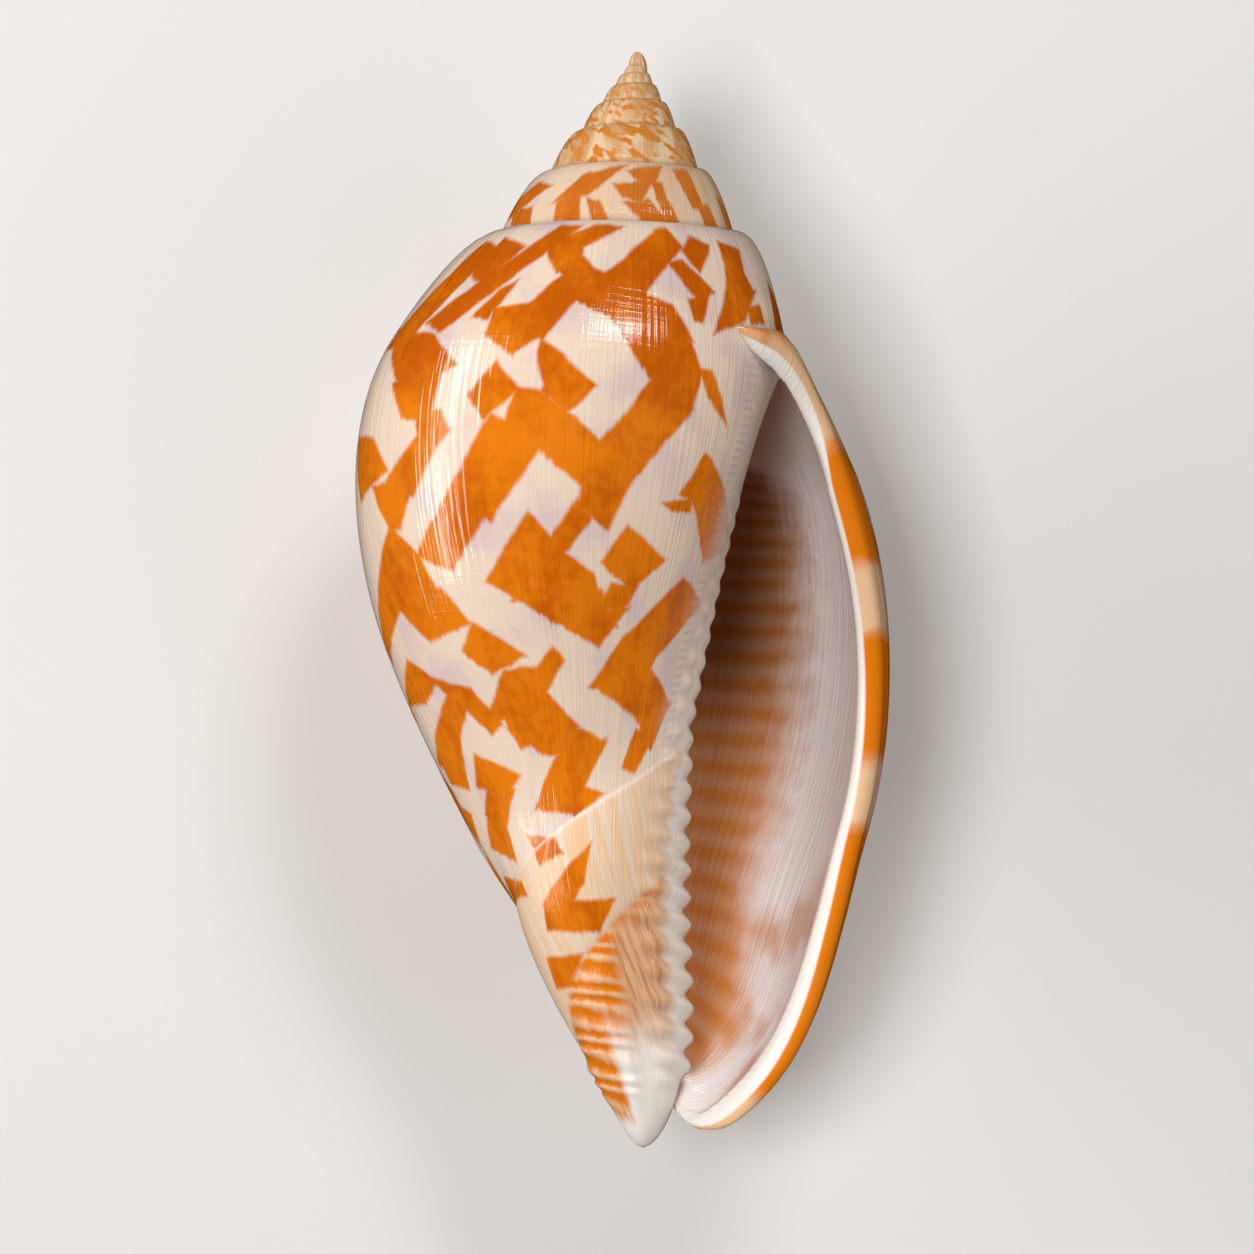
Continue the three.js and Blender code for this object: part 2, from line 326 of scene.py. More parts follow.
def pillar_skin(turn, depth):
    """The rounded band and the wrinkles below it, added to the pillar's radius."""
    band = down_band(turn, depth)
    rounded = highest(0, band * (1 - band)) ** BAND_POWER
    front = ease(turn, -0.93, -0.84)
    low = ease(band, 1, 1.25) * ease(turn, -0.8, -0.745) * (1 - ease(depth, 84, 88))
    end = 1 - ease(turn, -0.25, -0.08)
    wrinkled = WRINKLE_BASE + WRINKLE_HEIGHT * wrinkles(turn, depth)
    return (BAND_HEIGHT * rounded * front + low * wrinkled) * end


# Geometry nodes that grow the shell
GRID_SIZES = {
    "Columns a turn": 180,
    "Upper rows": 10,
    "Side rows": 112,
    "Pillar rows": 112,
    "Tip rows": 10,
    "Dome rows": 6,
    "Cavity steps": 60,
}
SHELL_SIZES = {"Lip wall": 2.2, "Tooth height": 0.75, "Scale": 0.001}


def sized_tree(name):
    """A geometry tree whose inputs are the shell's sizes."""
    tree = bpy.data.node_groups.new(name, "GeometryNodeTree")
    tree.interface.new_socket("Geometry", in_out="OUTPUT", socket_type="NodeSocketGeometry")
    for kind, sizes in (("NodeSocketInt", GRID_SIZES), ("NodeSocketFloat", SHELL_SIZES)):
        for size_name, size in sizes.items():
            socket = tree.interface.new_socket(size_name, in_out="INPUT", socket_type=kind)
            socket.default_value = size
    inlet = tree.nodes.new("NodeGroupInput")
    names = (*GRID_SIZES, *SHELL_SIZES)
    return tree, {size_name: Value(tree, inlet.outputs[size_name]) for size_name in names}


def patch(name, across, down, shape, zone, room, flip=False):
    """A grid whose corners go where the shape puts them, and that keeps its growth."""
    tree, sizes = sized_tree(name)
    counts = {"Vertices X": across(sizes) + 1, "Vertices Y": sizes[down] + 1}
    grid = add_node(tree, "GeometryNodeMeshGrid", {}, counts)
    column, row, _ = parts_of(tree, grid.outputs["UV Map"])
    spot, growth, inner = shape(column, row, sizes["Lip wall"], sizes["Tooth height"])
    u0, v0, u1, v1 = room
    kept = {
        "growth": ("FLOAT_VECTOR", growth),
        "inner": ("FLOAT_VECTOR", (*inner, zone)),
        "OFBake": ("FLOAT2", (u0 + (u1 - u0) * column, v0 + (v1 - v0) * row, 0)),
    }
    flow = grid.outputs["Mesh"]
    for kept_name, (data, value) in kept.items():
        settings = {"data_type": data, "domain": "CORNER"}
        inputs = {"Geometry": flow, "Name": kept_name, "Value": vector(tree, *value)}
        flow = add_node(tree, "GeometryNodeStoreNamedAttribute", settings, inputs).outputs[0]
    inputs = {"Geometry": flow, "Position": vector(tree, *spot)}
    flow = add_node(tree, "GeometryNodeSetPosition", {}, inputs).outputs[0]
    if flip:
        flow = add_node(tree, "GeometryNodeFlipFaces", {}, {0: flow}).outputs[0]
    tree.links.new(flow, tree.nodes.new("NodeGroupOutput").inputs[0])
    return tree


def shell_patches():
    def spread(row):
        return row**1.7

    def spire_shape(column, row, wall, tooth):
        turn = FIRST_TURN + SPIRE_TURNS * column
        across = spread(row)
        radius, depth = upper_face(turn, across)
        return place(turn, radius, depth), (turn, across, depth), (0, 0)

    def dome_shape(column, row, wall, tooth):
        turn = FIRST_TURN + column
        radius, depth = suture(turn)
        angle = row * (math.pi / 2)
        spot = place(turn, radius * cosine(angle), depth * (1 - sine(angle)))
        return spot, (turn, 0, depth), (0, 0)

    def dome_edge_shape(column, row, wall, tooth):
        radius, depth = upper_face(FIRST_TURN, spread(column))
        angle = row * (math.pi / 2)
        spot = place(FIRST_TURN, radius * cosine(angle), depth * (1 - sine(angle)))
        return spot, (FIRST_TURN, 0, depth), (0, 0)

    def body_shape(is_side):
        def shape(column, row, wall, tooth):
            across = row if is_side else spread(row)
            turn = blend(MOUTH_START, lip_turn(across, is_side), column)
            radius, depth = body_face(turn, across, is_side)
            if is_side:
                radius = radius + columella_teeth(turn, depth, tooth)
            return place(turn, radius, depth), (turn, across + float(is_side), depth), (0, 0)

        return shape

    def pillar_shape(column, row, wall, tooth):
        top = blend(MOUTH_START, MOUTH_BASE_TURN, column)
        turn = blend(top, BASE_CORNER + column, ease(row, 0, 1))
        depth = blend(base_depth(top), base_depth(MOUTH_BASE_TURN), row)
        radius = pillar_radius(depth) + pillar_skin(turn, depth) + columella_teeth(turn, depth, tooth)
        return place(turn, radius, depth), (turn, 2 + row, depth), (0, 0)

    def tip_shape(column, row, wall, tooth):
        turn = BASE_CORNER + column
        depth = blend(base_depth(MOUTH_BASE_TURN), LENGTH, row**0.6)
        radius = pillar_radius(depth) + pillar_skin(turn, depth) * (1 - row)
        return place(turn, radius, depth), (turn, 3 + row, depth), (0, 0)

    def going_back(column, wall):
        roll = lowest(1, column / ROLL_SHARE)
        inset = wall / 2 * (1 - cosine(roll * math.pi))
        wall_back = CAVITY_TURNS * (highest(0, column - ROLL_SHARE) / (1 - ROLL_SHARE)) ** 1.5
        floor_back = CAVITY_TURNS * column**1.7
        return roll, inset, wall_back, floor_back

    def floor_top_share(turn, inset):
        return inset / (base_depth(turn) - shoulder(turn)[1])

    def floor_base_depth(back, inset):
        return base_depth(MOUTH_BASE_TURN - back) - inset * ease(back, 0, 0.1)

    end_turn = -CAVITY_TURNS - 0.01
    end_radius, end_depth = side_face(end_turn, 0.35)
    cavity_end = place(end_turn, end_radius - 6, end_depth)

    def closed(spot, column):
        last = above(column, 0.9999)
        return tuple(blend(p, q, last) for p, q in zip(spot, cavity_end))

    def wall_shape(is_side):
        def shape(column, row, wall, tooth):
            across = row if is_side else spread(row)
            face = across + float(is_side)
            roll, inset, wall_back, floor_back = going_back(column, wall)
            turn = lip_turn(across, is_side) - wall_back
            radius, depth = body_face(turn, across, is_side)
            nose = wall / 2 * sine(roll * math.pi) / (2 * math.pi * highest(radius, NOSE_RADIUS))
            turn = turn + nose
            radius, depth = body_face(turn, across, is_side)
            share = UPPER_SHARE + (1 - UPPER_SHARE) * across if is_side else UPPER_SHARE * across
            angle = blend(math.radians(CAVITY_TOP_ANGLE), math.radians(CAVITY_BASE_ANGLE), share)
            spot = place(turn, radius - inset * cosine(angle), depth - inset * sine(angle))
            if is_side:
                edge_turn = BASE_CORNER - floor_back
                edge_depth = floor_base_depth(floor_back, inset)
                edge_radius = pillar_radius(edge_depth)
                reach = highest(BASE_REACH * inset / wall, 1e-6)
                meet = 1 - ease((1 - across) / reach, 0, 1)
            else:
                edge_turn = MOUTH_START - floor_back
                edge_radius, edge_depth = side_face(edge_turn, floor_top_share(edge_turn, inset))
                reach = highest(CORNER_REACH * inset / wall, 1e-6)
                meet = 1 - ease(across / reach, 0, 1)
            edge = place(edge_turn, edge_radius, edge_depth)
            spot = tuple(blend(p, q, meet) for p, q in zip(spot, edge))
            return closed(spot, column), (turn, face, depth), (column, roll)

        return shape

    def floor_pillar_shape(column, row, wall, tooth):
        roll, inset, wall_back, back = going_back(column, wall)
        turn = MOUTH_START - back
        depth = blend(base_depth(turn), floor_base_depth(back, inset), row)
        turn = blend(turn, BASE_CORNER - back, ease(row, 0, 1))
        radius = pillar_radius(depth) + pillar_skin(turn, depth) + columella_teeth(turn, depth, tooth)
        return closed(place(turn, radius, depth), column), (turn, 2 + row, depth), (column, roll)

    def floor_side_shape(column, row, wall, tooth):
        roll, inset, wall_back, back = going_back(column, wall)
        turn = MOUTH_START - back
        across = blend(floor_top_share(turn, inset), 1, row)
        radius, depth = side_face(turn, across)
        radius = radius + columella_teeth(turn, depth, tooth)
        return closed(place(turn, radius, depth), column), (turn, 1 + across, depth), (column, roll)

    def turns(sizes):
        return sizes["Columns a turn"]

    def all_turns(sizes):
        return sizes["Columns a turn"] * SPIRE_TURNS

    def steps(sizes):
        return sizes["Cavity steps"]

    def edge(sizes):
        return sizes["Upper rows"]

    return [
        patch("spire", all_turns, "Upper rows", spire_shape, 0, (0.01, 0.01, 0.99, 0.10)),
        patch("apex", turns, "Dome rows", dome_shape, 0, (0.01, 0.11, 0.60, 0.13), flip=True),
        patch("apex edge", edge, "Dome rows", dome_edge_shape, 0, (0.62, 0.11, 0.70, 0.13)),
        patch("shoulder", turns, "Upper rows", body_shape(False), 1, (0.01, 0.14, 0.66, 0.22)),
        patch("body side", turns, "Side rows", body_shape(True), 1, (0.01, 0.23, 0.66, 0.73)),
        patch("pillar", turns, "Pillar rows", pillar_shape, 2, (0.01, 0.74, 0.55, 0.99)),
        patch("pillar tip", turns, "Tip rows", tip_shape, 2, (0.67, 0.14, 0.99, 0.18)),
        patch("lip top", steps, "Upper rows", wall_shape(False), 3, (0.67, 0.20, 0.99, 0.26)),
        patch("lip side", steps, "Side rows", wall_shape(True), 3, (0.67, 0.27, 0.99, 0.73)),
        patch("columella", steps, "Pillar rows", floor_pillar_shape, 4, (0.56, 0.74, 0.77, 0.99), flip=True),
        patch("mouth floor", steps, "Side rows", floor_side_shape, 4, (0.78, 0.74, 0.99, 0.99), flip=True),
    ]


def shell_tree(material):
    tree, sizes = sized_tree("grown shell")
    joined = tree.nodes.new("GeometryNodeJoinGeometry")
    for group in shell_patches():
        made_patch = add_node(tree, "GeometryNodeGroup", {"node_tree": group}, sizes)
        tree.links.new(made_patch.outputs[0], joined.inputs[0])
    inputs = {"Geometry": joined.outputs[0], "Distance": 0.001}
    flow = add_node(tree, "GeometryNodeMergeByDistance", {}, inputs).outputs[0]
    spot = tree.nodes.new("GeometryNodeInputPosition").outputs[0]
    x, y, z = (part * sizes["Scale"] for part in parts_of(tree, spot))
    inputs = {"Geometry": flow, "Position": vector(tree, x, y, highest(z, 0))}
    flow = add_node(tree, "GeometryNodeSetPosition", {}, inputs).outputs[0]
    flow = add_node(tree, "GeometryNodeSetShadeSmooth", {}, {"Geometry": flow}).outputs[0]
    flow = add_node(tree, "GeometryNodeRealizeInstances", {}, {"Geometry": flow}).outputs[0]
    inputs = {"Geometry": flow, "Material": material}
    flow = add_node(tree, "GeometryNodeSetMaterial", {}, inputs).outputs[0]
    tree.links.new(flow, tree.nodes.new("NodeGroupOutput").inputs[0])
    return tree


def grow_shell(material):
    holder = bpy.data.objects.new("shell growth", bpy.data.meshes.new("shell growth"))
    bpy.context.scene.collection.objects.link(holder)
    tree = shell_tree(material)
    modifier = holder.modifiers.new("growth", "NODES")
    modifier.node_group = tree
    wanted = {**GRID_SIZES, **SHELL_SIZES}
    for socket in tree.interface.items_tree:
        if socket.name in wanted:
            modifier[socket.identifier] = wanted[socket.name]
    ready = holder.evaluated_get(bpy.context.evaluated_depsgraph_get())
    mesh = bpy.data.meshes.new_from_object(ready)
    mesh.name = "shell"
    bpy.data.objects.remove(holder)
    shell = bpy.data.objects.new("shell_visual", mesh)
    bpy.context.scene.collection.objects.link(shell)
    return shell


# Colours and marks
CREAM = (0.77, 0.60, 0.47)
LILAC = (0.66, 0.50, 0.47)
ORANGE = (0.72, 0.185, 0.005)
DEEP_ORANGE = (0.50, 0.095, 0.002)
SPIRE_CREAM = (0.61, 0.34, 0.15)
SPIRE_PALE = (0.75, 0.54, 0.34)
SPIRE_ORANGE = (0.62, 0.20, 0.025)
WHITE = (0.90, 0.83, 0.76)
GLAZE = (0.74, 0.61, 0.56)
PINK = (0.56, 0.235, 0.10)
# Brown of the mouth's depth: partly the shell's own colour, partly painted shade
BROWN_AND_SHADE = (0.46, 0.165, 0.04)
INNER_ORANGE = (0.68, 0.24, 0.055)
INNER_LILAC = (0.94, 0.86, 0.84)
BAND_CREAM = (0.80, 0.52, 0.31)

# Depth and half length of the cream patches on the outer lip
LIP_PATCHES = ((27, 5), (45, 4.2), (61.5, 3.6), (89, 4))

# The orange blocks of the mouth side: x and y of each one's corners in the camera's picture
BLOCKS = (
    (655, 231, 676, 246, 645, 292, 601, 278), (590, 268, 645, 292, 650, 335, 575, 298),
    (612, 318, 668, 312, 690, 345, 652, 378), (640, 295, 672, 306, 692, 340, 640, 340),
    (652, 380, 690, 340, 702, 372, 690, 412), (652, 380, 692, 408, 640, 470, 610, 440),
    (600, 443, 650, 390, 640, 472, 603, 505), (548, 398, 600, 443, 603, 505, 540, 447),
    (560, 356, 595, 386, 566, 412, 543, 392), (541, 340, 562, 356, 546, 385, 538, 352),
    (562, 276, 578, 297, 541, 339, 530, 303), (530, 303, 548, 330, 512, 352, 487, 332),
    (530, 303, 512, 352, 487, 334, 496, 309), (545, 245, 583, 240, 580, 258, 558, 270),
    (556, 262, 582, 257, 601, 277, 576, 298), (552, 241, 600, 225, 618, 228, 560, 256),
    (560, 227, 578, 227, 441, 331, 428, 322), (505, 238, 523, 247, 484, 283, 472, 274),
    (500, 290, 514, 284, 488, 318, 475, 316), (485, 243, 499, 248, 404, 346, 388, 348),
    (398, 332, 433, 335, 454, 365, 404, 396), (394, 386, 441, 368, 430, 421, 402, 416),
    (418, 416, 440, 410, 447, 432, 420, 457), (359, 440, 373, 440, 386, 470, 361, 502),
    (428, 425, 447, 430, 412, 494, 384, 490), (374, 488, 412, 482, 400, 528, 390, 530),
    (496, 363, 517, 389, 486, 416, 469, 396), (517, 390, 549, 395, 541, 446, 488, 500),
    (492, 414, 541, 445, 490, 520, 448, 500), (490, 440, 505, 490, 452, 568, 418, 556),
    (690, 238, 708, 246, 700, 272, 682, 250), (670, 262, 682, 261, 713, 292, 700, 302),
    (690, 300, 709, 291, 702, 321, 694, 318), (724, 257, 742, 269, 753, 292, 727, 292),
    (700, 368, 712, 371, 725, 421, 709, 396), (706, 455, 723, 490, 716, 521, 682, 492),
    (692, 500, 723, 490, 726, 546, 703, 561), (667, 505, 692, 498, 690, 512, 672, 512),
    (528, 513, 563, 552, 520, 599, 489, 581), (556, 548, 593, 577, 600, 601, 515, 598),
    (500, 586, 602, 592, 616, 626, 552, 622), (545, 612, 626, 609, 599, 646, 568, 628),
    (583, 476, 634, 476, 608, 529, 580, 506), (578, 500, 591, 518, 563, 553, 551, 540),
    (627, 527, 663, 560, 632, 591, 603, 562), (612, 584, 637, 588, 621, 613, 602, 604),
    (683, 579, 700, 604, 655, 656, 627, 636), (627, 635, 656, 655, 641, 691, 591, 688),
    (600, 690, 652, 671, 669, 705, 641, 723), (641, 716, 669, 704, 651, 748, 641, 744),
    (390, 527, 419, 557, 441, 601, 379, 601), (384, 590, 441, 590, 468, 622, 430, 639),
    (379, 584, 399, 608, 392, 662, 383, 652), (408, 661, 436, 682, 425, 702, 401, 706),
    (472, 624, 523, 655, 492, 673, 464, 650), (505, 671, 546, 667, 546, 701, 489, 723),
    (553, 649, 563, 660, 542, 699, 529, 680), (495, 699, 546, 694, 577, 726, 520, 747),
    (560, 722, 606, 744, 590, 771, 548, 750), (432, 679, 471, 692, 501, 722, 491, 733),
    (452, 689, 471, 696, 459, 749, 437, 749), (512, 729, 561, 735, 571, 756, 540, 752),
    (558, 754, 605, 741, 572, 813, 537, 807), (575, 784, 601, 794, 575, 816, 559, 801),
    (636, 729, 651, 740, 634, 771, 623, 766), (437, 729, 459, 732, 463, 761, 439, 766),
    (440, 760, 463, 760, 469, 789, 450, 781), (476, 757, 518, 775, 506, 796, 477, 785),
    (488, 785, 513, 790, 506, 836, 486, 815), (488, 814, 506, 825, 516, 861, 491, 846),
    (457, 811, 471, 815, 479, 839, 469, 836), (529, 837, 553, 840, 561, 852, 540, 863),
    (590, 846, 584, 880, 568, 915, 545, 905), (545, 903, 576, 903, 582, 931, 547, 929),
    (570, 903, 613, 902, 600, 929, 575, 931), (505, 879, 522, 884, 526, 893, 515, 906),
    (548, 961, 581, 957, 573, 986, 556, 986), (727, 288, 754, 291, 744, 319, 717, 331),
    (719, 244, 738, 250, 743, 269, 724, 261), (748, 309, 760, 307, 764, 322, 752, 323),
    (768, 284, 775, 300, 783, 331, 776, 329), (655, 230, 667, 230, 680, 246, 664, 264),
)
# The blocks of the whorl above it, in the same way
UPPER_BLOCKS = (
    (556, 201, 583, 176, 622, 167, 588, 193), (557, 203, 580, 195, 578, 223, 555, 219),
    (588, 199, 600, 204, 609, 222, 594, 221), (630, 171, 660, 168, 655, 181, 639, 181),
    (616, 186, 652, 181, 640, 201, 623, 196), (651, 181, 662, 185, 667, 201, 658, 199),
    (627, 204, 648, 200, 669, 223, 652, 227), (659, 200, 669, 202, 681, 231, 670, 229),
    (674, 171, 687, 172, 704, 209, 692, 206), (699, 209, 708, 207, 717, 239, 706, 233),
    (717, 199, 722, 204, 733, 237, 726, 239), (514, 212, 532, 208, 530, 223, 511, 227),
    (504, 219, 540, 183, 549, 186, 514, 215),
)
BLOCKS_A_GROUP = 15
PICTURE_WIDTH = 1254
PICTURE_STEP = LENGTH / 1100
PICTURE_MIDDLE = (625, 595)
VIEW_PITCH = math.radians(5)
VIEW_DISTANCE = 450
VIEW_SIDE = 0.23
TURN_LENGTH = 125

# The laid blocks end at this turn, and scattered ones of this size and share cover the back
LAID_END = -0.5
BACK_BLOCK, BACK_SHARE = 5.2, 0.52


def picture_spot(turn, face):
    """Where a point of the body whorl or of the pillar below it lies in the picture."""
    if face > 2:
        depth = blend(base_depth(turn), LENGTH, face - 2)
        radius = pillar_radius(depth) + pillar_skin(turn, depth)
    else:
        radius, depth = side_face(turn, face - 1) if face > 1 else upper_face(turn, max(face, 1e-6))
    x, y, z = place(turn, radius, depth)
    z = z - AXIS_HEIGHT
    up = y * math.cos(VIEW_PITCH) + z * math.sin(VIEW_PITCH)
    near = z * math.cos(VIEW_PITCH) - y * math.sin(VIEW_PITCH)
    size = VIEW_DISTANCE / (VIEW_DISTANCE - near) / PICTURE_STEP
    return PICTURE_MIDDLE[0] + (x - VIEW_SIDE) * size, PICTURE_MIDDLE[1] - up * size, depth


def halve(low, high, is_past):
    for _ in range(16):
        middle = (low + high) / 2
        if is_past(middle):
            high = middle
        else:
            low = middle
    return (low + high) / 2


def growth_spot(px, py, whorl):
    """The turn and depth of a spot in the picture, on the body whorl (0) or the one above it (1)."""

    def face_at(turn):
        return halve(0, 3, lambda face: picture_spot(turn, face)[1] > py)

    turn = halve(-1.02 - whorl, -0.5 - whorl, lambda turn: picture_spot(turn, face_at(turn))[0] < px)
    return turn * TURN_LENGTH, picture_spot(turn, face_at(turn))[2]


def marks_group(name, blocks, whorl):
    """How far a growth spot lies outside the nearest of these blocks, negative inside."""
    tree = bpy.data.node_groups.new(name, "ShaderNodeTree")
    tree.interface.new_socket("Spot", in_out="INPUT", socket_type="NodeSocketVector")
    tree.interface.new_socket("Distance", in_out="OUTPUT", socket_type="NodeSocketFloat")
    spot = tree.nodes.new("NodeGroupInput").outputs[0]
    nearest = None
    for block in blocks:
        corners = [growth_spot(*block[i : i + 2], whorl) for i in range(0, 8, 2)]
        middle = [sum(c[k] for c in corners) / 4 for k in (0, 1)]
        outside = None
        for (ax, ay), (bx, by) in zip(corners, corners[1:] + corners[:1]):
            nx, ny = by - ay, ax - bx
            long = math.hypot(nx, ny)
            if (middle[0] - ax) * nx + (middle[1] - ay) * ny > 0:
                nx, ny = -nx, -ny
            side = (nx / long, ny / long, -(nx * ax + ny * ay) / long)
            dot = add_node(tree, "ShaderNodeVectorMath", {"operation": "DOT_PRODUCT"}, {0: spot, 1: side})
            past = Value(tree, dot.outputs["Value"])
            outside = past if outside is None else highest(outside, past)
        nearest = outside if nearest is None else lowest(nearest, outside)
    tree.links.new(nearest.socket, tree.nodes.new("NodeGroupOutput").inputs[0])
    return tree


def noise(tree, spot, scale, detail=2):
    inputs = {"Vector": spot, "Scale": scale, "Detail": detail}
    return Value(tree, add_node(tree, "ShaderNodeTexNoise", {}, inputs).outputs[0])


def chance(tree, spot):
    node = add_node(tree, "ShaderNodeTexWhiteNoise", {"noise_dimensions": "3D"}, {"Vector": spot})
    return Value(tree, node.outputs["Value"])


def floor_of(value):
    return math_node("FLOOR", value)


def mix(tree, share, first, second):
    """A colour part of the way from the first to the second."""
    node = tree.nodes.new("ShaderNodeMix")
    node.data_type = "RGBA"
    feed(tree, node.inputs[0], share)
    for socket, colour in zip(node.inputs[6:8], (first, second)):
        feed(tree, socket, (*colour, 1) if isinstance(colour, tuple) else colour)
    return node.outputs[2]


def lattice_marks(tree, along, down):
    """A chance for each of many blocks, whose edges run along two slanting directions."""
    a = (along * 0.72 + down) / BACK_BLOCK
    b = (along * 0.72 - down * 1.1) / (BACK_BLOCK * 1.25)
    shift = chance(tree, vector(tree, floor_of(b), 1.0, 3.0))
    return chance(tree, vector(tree, floor_of(a + shift), floor_of(b), 1.0))


def shell_material():
    material = bpy.data.materials.new("shell glaze")
    material.use_nodes = True
    tree = material.node_tree
    shader = tree.nodes["Principled BSDF"]

    def kept(name):
        source = add_node(tree, "ShaderNodeAttribute", {"attribute_name": name})
        return parts_of(tree, source.outputs["Vector"])

    turn, face, depth = kept("growth")
    inside, roll, zone = kept("inner")
    along = turn * TURN_LENGTH
    spot = vector(tree, along, depth, 0.0)

    # Wobble of the marks' edges
    sway = noise(tree, spot, 0.35, 2) - 0.5
    sway_down = noise(tree, vector(tree, along, depth, 7.0), 0.35, 2) - 0.5
    fringe = noise(tree, vector(tree, along * 2.6, depth * 0.5, 3.0), 1.0, 3) - 0.5
    marked_along = along + 0.7 * sway + 0.25 * fringe
    marked_down = depth + 0.7 * sway_down + 0.25 * fringe
    marked = vector(tree, marked_along, marked_down, 1.0)

    # Laid blocks on the mouth side, scattered ones on the back
    speckle = noise(tree, vector(tree, along * 0.9, depth * 0.9, 17.0), 1.0, 2)
    starts = range(0, len(BLOCKS), BLOCKS_A_GROUP)
    lots = [(0, BLOCKS[start : start + BLOCKS_A_GROUP]) for start in starts]
    laid = None
    for whorl, blocks in (*lots, (1, UPPER_BLOCKS)):
        group = marks_group("orange blocks", blocks, whorl)
        node = add_node(tree, "ShaderNodeGroup", {"node_tree": group}, {0: marked})
        distance = Value(tree, node.outputs[0])
        laid = distance if laid is None else lowest(laid, distance)
    laid_mask = 1 - ease(laid + 0.6 * fringe * speckle, -0.05, 0.45)
    scattered = above(lattice_marks(tree, marked_along, marked_down), 1 - BACK_SHARE)
    mask = blend(laid_mask, scattered, ease(turn, LAID_END - 0.005, LAID_END + 0.005))

    # Ground and orange of the body whorl
    cloud = noise(tree, spot, 0.16, 3)
    streak = noise(tree, vector(tree, along * 3.2, depth * 0.22, 1.0), 1.0, 3)
    ground = mix(tree, ease(cloud, 0.45, 0.68), CREAM, LILAC)
    mottle = speckle * 0.3 + cloud * 0.7 + 0.08 * fringe + 0.16 * (1 - ease(depth, 22, 36))
    orange = mix(tree, ease(mottle, 0.4, 0.72), ORANGE, DEEP_ORANGE)
    body = mix(tree, mask, ground, orange)

    # Spire: paler, with small marks that fade out towards the apex
    spire_along = turn * 40 + 0.7 * sway + 0.5 * fringe
    spire_down = face * 5.5 + 0.7 * sway_down
    fleck_spot = vector(tree, spire_along * 0.62, spire_down * 0.7 + spire_along * 0.3, 5.0)
    spire_marks = ease(noise(tree, fleck_spot, 1.0), 0.48, 0.57)
    unlaid = ease(turn, LAID_END - 1.01, LAID_END - 0.99) * (1 - ease(turn, -1.04, -1.03))
    unlaid = highest(unlaid, 1 - ease(turn, -2.05, -2.03))
    spire_mask = blend(laid_mask, spire_marks, unlaid) * ease(turn, -6.9, -3.4)
    young = ease(turn + 0.1 * sway, -2.3, -1.3)
    spire_ground = mix(tree, ease(cloud, 0.4, 0.65), SPIRE_CREAM, SPIRE_PALE)
    spire = mix(tree, spire_mask * (0.55 + 0.8 * cloud), spire_ground, SPIRE_ORANGE)
    spire = mix(tree, young, spire, mix(tree, spire_mask, ground, orange))
    # Darker line along each suture: partly the shell's own dark suture line, partly painted shade in the
    # groove between whorls
    suture_line_and_shade = 0.5 * (1 - ease(face, 0.01, 0.06)) * ease(turn, -6.4, -5.4)
    spire = mix(tree, suture_line_and_shade, spire, SPIRE_ORANGE)
    body = mix(tree, suture_line_and_shade, body, SPIRE_ORANGE)

    # Pillar: cream band below the ridge, wrinkled orange band, streaked callus and white tip
    band = down_band(turn, depth)
    slant = noise(tree, vector(tree, along * 0.9 + depth * 0.6, depth * 0.1, 5.0), 1.0, 3)
    fasciole = mix(tree, ease(slant, 0.4, 0.62), BAND_CREAM, CREAM)
    fasciole = mix(tree, mask, fasciole, orange)
    ripple = ease(wrinkles(turn, depth) + 3 * sway + 1.5 * fringe, -0.6, 1.2)
    wrinkled = mix(tree, ripple * 0.75, ORANGE, BAND_CREAM)
    lower = mix(tree, ease(band, 0.96, 1.04), fasciole, wrinkled)
    lower = mix(tree, (1 - ease(band, 0.02, 0.06)) * 0.4, lower, WHITE)
    grain = noise(tree, vector(tree, along * 0.55 + depth * 0.5, depth * 0.12 - along * 0.1, 4.0), 1.3, 3)
    callus = mix(tree, 0.35 + 0.6 * ease(grain, 0.4, 0.65), BAND_CREAM, PINK)
    on_callus = 1 - ease(turn + 0.02 * sway, -0.8, -0.765)
    pillar = mix(tree, on_callus * ease(band, 0.9, 1.2), lower, callus)
    tip = ease(depth + 3 * sway, 78, 84) * (1 - ease(turn + 0.02 * sway, -0.73, -0.69))
    pillar = mix(tree, highest(tip, ease(depth + 2 * sway, 86.5, 88.5)), pillar, WHITE)

    # Inner side of the mouth: a thin glaze, white teeth and, behind them, brown that is partly the shell's
    # own colour and partly painted shade of the deep mouth
    in_mouth = above(zone, 0.5)
    outside = mix(tree, above(face, 2), body, pillar)
    edge, reach = teeth_edge(depth)
    glazed = 1 - ease(turn + 0.03 * sway, edge + 0.03, edge + 0.1)
    outside = mix(tree, glazed * 0.75 * in_mouth * (1 - ease(face, 1.95, 2.05)), outside, GLAZE)
    toothed = 1 - ease(turn + 0.03 * sway, edge + 0.15 * reach, edge + 0.55 * reach)
    outside = mix(tree, toothed * in_mouth, outside, WHITE)
    lirae = 0.5 + 0.5 * sine(face * 150 + 1.5 * sway)
    # Brown of the deep mouth with pale lirae: partly its own colour, partly painted shade
    shaded_depth = mix(tree, lirae * 0.25, BROWN_AND_SHADE, INNER_LILAC)
    outside = mix(tree, (1 - ease(turn, edge - 0.06, edge - 0.03)) * in_mouth, outside, shaded_depth)
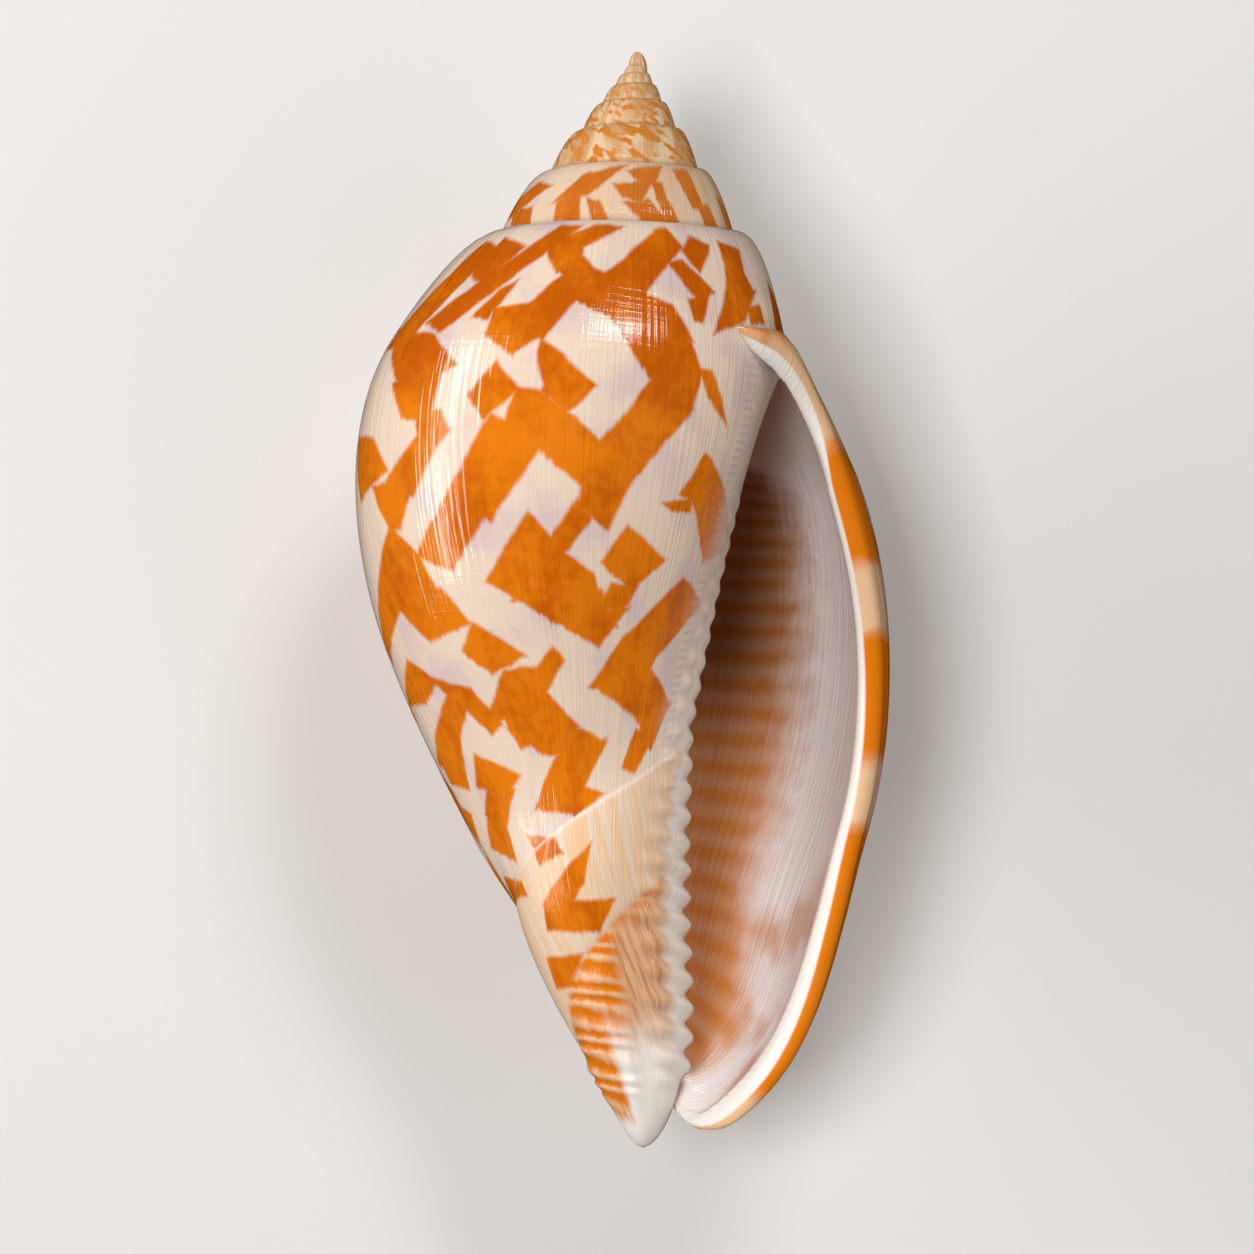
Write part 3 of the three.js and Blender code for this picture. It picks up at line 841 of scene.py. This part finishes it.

    # Outer wall's inside, with faint lines, and the lip. Brown high up and in the depth, pale lilac towards
    # the lip: partly the shell's own colours, partly painted shade, with a soft painted shadow edge between
    # them
    low = ease(face, 1.3, 1.65)
    shift = 0.09 * (1 - ease(face, 0.7, 1.15)) - 0.045 * ease(face, 1.68, 1.9)
    # Where the painted shade of the depth gives way to pale lilac near the lip
    pale_past_shadow_edge = ease(turn + shift + 0.03 * sway + 0.015 * fringe, -0.165, -0.105)
    flush = ease(noise(tree, vector(tree, along * 0.12, face * 9, 13.0), 1.0, 2), 0.45, 0.65)
    inner = mix(tree, pale_past_shadow_edge, mix(tree, low, BROWN_AND_SHADE, INNER_ORANGE), INNER_LILAC)
    inner = mix(tree, flush * ease(face, 1.5, 1.8) * 0.7, inner, INNER_ORANGE)
    inner = mix(tree, lirae * 0.14, inner, WHITE)
    patchy = 0
    for patch_depth, patch_size in LIP_PATCHES:
        away = abs(depth + 3 * sway - patch_depth)
        patchy = highest(patchy, 1 - ease(away, 0.5 * patch_size, patch_size))
    lip_band = mix(tree, patchy * 0.9, ORANGE, BAND_CREAM)
    rim = roll - blend(0.32, 0.54, ease(face, 0.3, 1.2))
    lip = mix(tree, ease(rim, 0.0, 0.08), lip_band, WHITE)
    wall = mix(tree, ease(inside, 0.15, 0.2), lip, inner)

    colour = mix(tree, in_mouth, spire, outside)
    colour = mix(tree, ease(turn, -0.035, -0.02) * in_mouth, colour, lip_band)
    colour = mix(tree, above(zone, 2.5) * (1 - above(zone, 3.5)), colour, wall)
    feed(tree, shader.inputs["Base Color"], colour)

    # Fine lines of growth
    lines = noise(tree, vector(tree, along * 2.6, depth * 0.08, 0.0), 1.0, 1)
    threads = noise(tree, vector(tree, along * 0.12, depth * 3.2, 2.0), 1.0, 2)
    beads = ease(inside, 0.12, 0.15) * (1 - ease(inside, 0.18, 0.22)) * sine(depth * 9)
    height = lines + 0.3 * threads + 0.4 * beads
    bump = add_node(tree, "ShaderNodeBump", {}, {"Strength": 0.45, "Distance": 0.0002, "Height": height})
    feed(tree, shader.inputs["Normal"], bump.outputs[0])
    feed(tree, shader.inputs["Roughness"], 0.085 + 0.08 * ease(streak, 0.4, 0.7))
    shader.inputs["Coat Weight"].default_value = 0.12
    shader.inputs["Coat Roughness"].default_value = 0.04
    return material


def floor_material():
    material = bpy.data.materials.new("pale floor")
    material.use_nodes = True
    tree = material.node_tree
    shader = tree.nodes["Principled BSDF"]
    spot = tree.nodes.new("ShaderNodeTexCoord").outputs["Object"]
    cloud = noise(tree, spot, 3.0, 3)
    feed(tree, shader.inputs["Base Color"], mix(tree, cloud, (0.70, 0.69, 0.67), (0.74, 0.73, 0.71)))
    shader.inputs["Roughness"].default_value = 0.65
    return material


shell = grow_shell(shell_material())
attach(shell, "root")
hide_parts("shell")

# Floor
bpy.ops.mesh.primitive_plane_add(size=3)
floor = bpy.context.object
floor.name = "floor"
floor.data.materials.append(floor_material())
floor.visible_glossy = False


# Camera and lights
view_target = Vector((VIEW_SIDE, 0, AXIS_HEIGHT)) / 1000
camera_data = bpy.data.cameras.new("camera")
camera = bpy.data.objects.new("camera", camera_data)
bpy.context.scene.collection.objects.link(camera)
camera_data.lens = camera_data.sensor_width * VIEW_DISTANCE / (PICTURE_WIDTH * PICTURE_STEP)
camera_data.shift_x = (PICTURE_WIDTH / 2 - PICTURE_MIDDLE[0]) / PICTURE_WIDTH
camera_data.shift_y = (PICTURE_MIDDLE[1] - PICTURE_WIDTH / 2) / PICTURE_WIDTH
camera_data.clip_start = 0.01
back = Vector((0, -math.sin(VIEW_PITCH), math.cos(VIEW_PITCH)))
up = Vector((0, math.cos(VIEW_PITCH), math.sin(VIEW_PITCH)))
turned = Matrix((Vector((1, 0, 0)), up, back)).transposed().to_4x4()
camera.matrix_world = Matrix.Translation(view_target + back * VIEW_DISTANCE / 1000) @ turned
bpy.context.scene.camera = camera

LIGHT_TARGET = Vector((0, 0, 0.02))


def softbox(name, spot, width, height, power, mirrored=True):
    """A soft light aimed at the shell. One that isn't mirrored doesn't show in its gloss."""
    light = bpy.data.lights.new(name, "AREA")
    light.shape = "RECTANGLE"
    light.size, light.size_y = width, height
    light.energy = power
    thing = bpy.data.objects.new(name, light)
    bpy.context.scene.collection.objects.link(thing)
    thing.visible_glossy = mirrored
    thing.location = spot
    thing.rotation_euler = (LIGHT_TARGET - Vector(spot)).to_track_quat("-Z", "Y").to_euler()


softbox("left softbox", (-0.50, 0.06, 0.17), 0.62, 0.06, 1.75)
softbox("top softbox", (0.13, 0.34, 0.40), 0.15, 0.11, 0.9)
softbox("right softbox", (0.40, -0.12, 0.45), 0.4, 0.3, 0.5, mirrored=False)
softbox("fill", (-0.18, -0.06, 0.68), 0.22, 0.22, 2.95, mirrored=False)

world = bpy.data.worlds.new("studio")
world.use_nodes = True
background = world.node_tree.nodes["Background"]
background.inputs["Color"].default_value = (0.9, 0.85, 0.8, 1)
background.inputs["Strength"].default_value = 0.12
bpy.context.scene.world = world
world.cycles_visibility.glossy = False
bpy.context.scene.view_settings.view_transform = "Standard"
